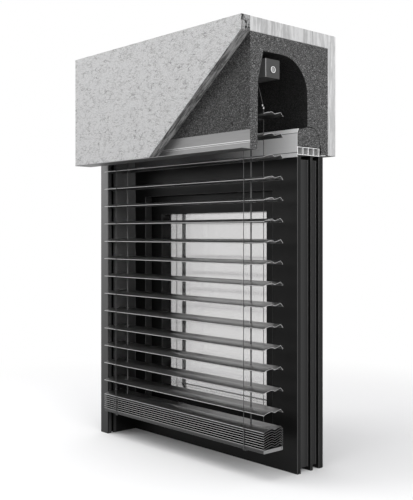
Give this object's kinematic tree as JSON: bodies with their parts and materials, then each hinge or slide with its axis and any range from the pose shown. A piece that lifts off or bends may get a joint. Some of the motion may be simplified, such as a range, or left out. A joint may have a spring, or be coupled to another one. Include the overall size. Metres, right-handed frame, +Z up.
{
  "type": "exterior venetian blind",
  "caption": "Exterior venetian blind with tilting, lifting slats in an insulated lintel box over an inward-turning window, shown cut open at one end.",
  "frame": {"origin": "middle of the overall length and depth, at floor level", "axes": "+X along the blind towards the cut-open end, +Y from outside to the room, +Z up"},
  "size_m": [0.822, 0.419, 1.307],
  "materials": {
    "render": "rough fine-textured cement render",
    "insulation": "pebbly expanded foam",
    "aluminium": "satin",
    "white_plastic": "matte",
    "panel": "smooth coated",
    "dark_rail": "satin powder coat",
    "black_rubber": "matte",
    "grey_plastic": "satin",
    "steel": "satin",
    "textile": "woven",
    "slat_paint": "satin powder coat",
    "pin_plastic": "matte",
    "anthracite": "fine matte powder coat",
    "glass": "clear",
    "dark_fitting": "satin"
  },
  "bodies": {
    "surround": {"front_render_plate": "render", "top_render_slab": "render", "rear_render_plate": "render", "insulation_core": "insulation", "rear_insulation_insert": "insulation", "plaster_stop_profile": "aluminium", "rear_lip_profile": "aluminium", "window_connection_profile": "white_plastic", "rear_closing_strip": "white_plastic", "side_reveal_panel": "panel", "guide_rail": "dark_rail", "guide_rail_liner": "black_rubber", "head_rail": "dark_rail", "head_rail_end_caps": "grey_plastic", "head_rail_brackets": "steel", "bearing_blocks": "grey_plastic", "drive_motor": "steel", "ladder_cords": "textile", "lift_tapes": "textile", "window_frame": "anthracite", "frame_gasket": "black_rubber", "hinge_frame_leaves": "dark_fitting"},
    "shaft": {"tilt_shaft": "steel"},
    "package": {"bottom_rail": "slat_paint", "stacked_slats": "slat_paint", "stack_guide_pins": "pin_plastic"},
    "sash": {"sash_frame": "anthracite", "insulating_glass_unit": "glass", "glazing_beads": "anthracite", "sash_fittings": "dark_fitting"},
    "handle": {"window_handle": "dark_fitting"},
    "tilting_slat_01": {"slat_01": "slat_paint"},
    "carrier_01": {"guide_pin_01": "pin_plastic"},
    "tilting_slat_02": {"slat_02": "slat_paint"},
    "carrier_02": {"guide_pin_02": "pin_plastic"},
    "tilting_slat_03": {"slat_03": "slat_paint"},
    "carrier_03": {"guide_pin_03": "pin_plastic"},
    "tilting_slat_04": {"slat_04": "slat_paint"},
    "carrier_04": {"guide_pin_04": "pin_plastic"},
    "tilting_slat_05": {"slat_05": "slat_paint"},
    "carrier_05": {"guide_pin_05": "pin_plastic"},
    "tilting_slat_06": {"slat_06": "slat_paint"},
    "carrier_06": {"guide_pin_06": "pin_plastic"},
    "tilting_slat_07": {"slat_07": "slat_paint"},
    "carrier_07": {"guide_pin_07": "pin_plastic"},
    "tilting_slat_08": {"slat_08": "slat_paint"},
    "carrier_08": {"guide_pin_08": "pin_plastic"},
    "tilting_slat_09": {"slat_09": "slat_paint"},
    "carrier_09": {"guide_pin_09": "pin_plastic"},
    "tilting_slat_10": {"slat_10": "slat_paint"},
    "carrier_10": {"guide_pin_10": "pin_plastic"},
    "tilting_slat_11": {"slat_11": "slat_paint"},
    "carrier_11": {"guide_pin_11": "pin_plastic"},
    "tilting_slat_12": {"slat_12": "slat_paint"},
    "carrier_12": {"guide_pin_12": "pin_plastic"},
    "tilting_slat_13": {"slat_13": "slat_paint"},
    "carrier_13": {"guide_pin_13": "pin_plastic"},
    "tilting_slat_14": {"slat_14": "slat_paint"},
    "carrier_14": {"guide_pin_14": "pin_plastic"},
    "tilting_slat_15": {"slat_15": "slat_paint"}
  },
  "joints": [
    {"name": "tilt", "type": "hinge", "parent": "surround", "child": "shaft", "pos_m": [0, -0.0815, 1.1695], "axis": [1, 0, 0], "range_deg": [0, 100]},
    {"name": "lift", "type": "slide", "parent": "surround", "child": "package", "axis": [0, 0, 1], "range_m": [0, 0.54], "deforming": ["ladder_cords", "lift_tapes"]},
    {"name": "sash_turn", "type": "hinge", "parent": "surround", "child": "sash", "pos_m": [0.351, 0.1768, 0.4675], "axis": [0, 0, -1], "range_deg": [0, 90]},
    {"name": "handle_turn", "type": "hinge", "parent": "sash", "child": "handle", "pos_m": [-0.308, 0.1695, 0.4675], "axis": [0, -1, 0], "range_deg": [0, 90]},
    {"name": "rise_01", "type": "slide", "parent": "surround", "child": "carrier_01", "axis": [0, 0, 1], "range_m": [0, 0.0281]},
    {"name": "turn_01", "type": "hinge", "parent": "carrier_01", "child": "tilting_slat_01", "pos_m": [0, -0.0815, 1.0411], "axis": [1, 0, 0], "range_deg": [0, 60.1]},
    {"name": "rise_02", "type": "slide", "parent": "surround", "child": "carrier_02", "axis": [0, 0, 1], "range_m": [0, 0.06467]},
    {"name": "turn_02", "type": "hinge", "parent": "carrier_02", "child": "tilting_slat_02", "pos_m": [0, -0.0815, 0.9805], "axis": [1, 0, 0], "range_deg": [0, 60.1]},
    {"name": "rise_03", "type": "slide", "parent": "surround", "child": "carrier_03", "axis": [0, 0, 1], "range_m": [0, 0.10124]},
    {"name": "turn_03", "type": "hinge", "parent": "carrier_03", "child": "tilting_slat_03", "pos_m": [0, -0.0815, 0.9199], "axis": [1, 0, 0], "range_deg": [0, 60.1]},
    {"name": "rise_04", "type": "slide", "parent": "surround", "child": "carrier_04", "axis": [0, 0, 1], "range_m": [0, 0.13781]},
    {"name": "turn_04", "type": "hinge", "parent": "carrier_04", "child": "tilting_slat_04", "pos_m": [0, -0.0815, 0.8593], "axis": [1, 0, 0], "range_deg": [0, 60.1]},
    {"name": "rise_05", "type": "slide", "parent": "surround", "child": "carrier_05", "axis": [0, 0, 1], "range_m": [0, 0.17439]},
    {"name": "turn_05", "type": "hinge", "parent": "carrier_05", "child": "tilting_slat_05", "pos_m": [0, -0.0815, 0.7987], "axis": [1, 0, 0], "range_deg": [0, 60.1]},
    {"name": "rise_06", "type": "slide", "parent": "surround", "child": "carrier_06", "axis": [0, 0, 1], "range_m": [0, 0.21096]},
    {"name": "turn_06", "type": "hinge", "parent": "carrier_06", "child": "tilting_slat_06", "pos_m": [0, -0.0815, 0.7381], "axis": [1, 0, 0], "range_deg": [0, 60.1]},
    {"name": "rise_07", "type": "slide", "parent": "surround", "child": "carrier_07", "axis": [0, 0, 1], "range_m": [0, 0.24753]},
    {"name": "turn_07", "type": "hinge", "parent": "carrier_07", "child": "tilting_slat_07", "pos_m": [0, -0.0815, 0.6775], "axis": [1, 0, 0], "range_deg": [0, 60.1]},
    {"name": "rise_08", "type": "slide", "parent": "surround", "child": "carrier_08", "axis": [0, 0, 1], "range_m": [0, 0.2841]},
    {"name": "turn_08", "type": "hinge", "parent": "carrier_08", "child": "tilting_slat_08", "pos_m": [0, -0.0815, 0.6169], "axis": [1, 0, 0], "range_deg": [0, 60.1]},
    {"name": "rise_09", "type": "slide", "parent": "surround", "child": "carrier_09", "axis": [0, 0, 1], "range_m": [0, 0.32067]},
    {"name": "turn_09", "type": "hinge", "parent": "carrier_09", "child": "tilting_slat_09", "pos_m": [0, -0.0815, 0.5563], "axis": [1, 0, 0], "range_deg": [0, 60.1]},
    {"name": "rise_10", "type": "slide", "parent": "surround", "child": "carrier_10", "axis": [0, 0, 1], "range_m": [0, 0.35724]},
    {"name": "turn_10", "type": "hinge", "parent": "carrier_10", "child": "tilting_slat_10", "pos_m": [0, -0.0815, 0.4957], "axis": [1, 0, 0], "range_deg": [0, 60.1]},
    {"name": "rise_11", "type": "slide", "parent": "surround", "child": "carrier_11", "axis": [0, 0, 1], "range_m": [0, 0.39381]},
    {"name": "turn_11", "type": "hinge", "parent": "carrier_11", "child": "tilting_slat_11", "pos_m": [0, -0.0815, 0.4351], "axis": [1, 0, 0], "range_deg": [0, 60.1]},
    {"name": "rise_12", "type": "slide", "parent": "surround", "child": "carrier_12", "axis": [0, 0, 1], "range_m": [0, 0.43039]},
    {"name": "turn_12", "type": "hinge", "parent": "carrier_12", "child": "tilting_slat_12", "pos_m": [0, -0.0815, 0.3745], "axis": [1, 0, 0], "range_deg": [0, 60.1]},
    {"name": "rise_13", "type": "slide", "parent": "surround", "child": "carrier_13", "axis": [0, 0, 1], "range_m": [0, 0.46696]},
    {"name": "turn_13", "type": "hinge", "parent": "carrier_13", "child": "tilting_slat_13", "pos_m": [0, -0.0815, 0.3139], "axis": [1, 0, 0], "range_deg": [0, 60.1]},
    {"name": "rise_14", "type": "slide", "parent": "surround", "child": "carrier_14", "axis": [0, 0, 1], "range_m": [0, 0.50353]},
    {"name": "turn_14", "type": "hinge", "parent": "carrier_14", "child": "tilting_slat_14", "pos_m": [0, -0.0815, 0.2533], "axis": [1, 0, 0], "range_deg": [0, 60.1]},
    {"name": "turn_15", "type": "hinge", "parent": "package", "child": "tilting_slat_15", "pos_m": [0, -0.0815, 0.1927], "axis": [1, 0, 0], "range_deg": [0, 60.1]}
  ],
  "couplings": [
    {"joint": "rise_01", "follows": "lift", "ratio": 0.051852},
    {"joint": "turn_01", "follows": "tilt", "ratio": 0.6},
    {"joint": "rise_02", "follows": "lift", "ratio": 0.11958},
    {"joint": "turn_02", "follows": "tilt", "ratio": 0.6},
    {"joint": "rise_03", "follows": "lift", "ratio": 0.1873},
    {"joint": "turn_03", "follows": "tilt", "ratio": 0.6},
    {"joint": "rise_04", "follows": "lift", "ratio": 0.25503},
    {"joint": "turn_04", "follows": "tilt", "ratio": 0.6},
    {"joint": "rise_05", "follows": "lift", "ratio": 0.32275},
    {"joint": "turn_05", "follows": "tilt", "ratio": 0.6},
    {"joint": "rise_06", "follows": "lift", "ratio": 0.39048},
    {"joint": "turn_06", "follows": "tilt", "ratio": 0.6},
    {"joint": "rise_07", "follows": "lift", "ratio": 0.4582},
    {"joint": "turn_07", "follows": "tilt", "ratio": 0.6},
    {"joint": "rise_08", "follows": "lift", "ratio": 0.52593},
    {"joint": "turn_08", "follows": "tilt", "ratio": 0.6},
    {"joint": "rise_09", "follows": "lift", "ratio": 0.59365},
    {"joint": "turn_09", "follows": "tilt", "ratio": 0.6},
    {"joint": "rise_10", "follows": "lift", "ratio": 0.66138},
    {"joint": "turn_10", "follows": "tilt", "ratio": 0.6},
    {"joint": "rise_11", "follows": "lift", "ratio": 0.7291},
    {"joint": "turn_11", "follows": "tilt", "ratio": 0.6},
    {"joint": "rise_12", "follows": "lift", "ratio": 0.79683},
    {"joint": "turn_12", "follows": "tilt", "ratio": 0.6},
    {"joint": "rise_13", "follows": "lift", "ratio": 0.86455},
    {"joint": "turn_13", "follows": "tilt", "ratio": 0.6},
    {"joint": "rise_14", "follows": "lift", "ratio": 0.93228},
    {"joint": "turn_14", "follows": "tilt", "ratio": 0.6},
    {"joint": "turn_15", "follows": "tilt", "ratio": 0.6}
  ]
}
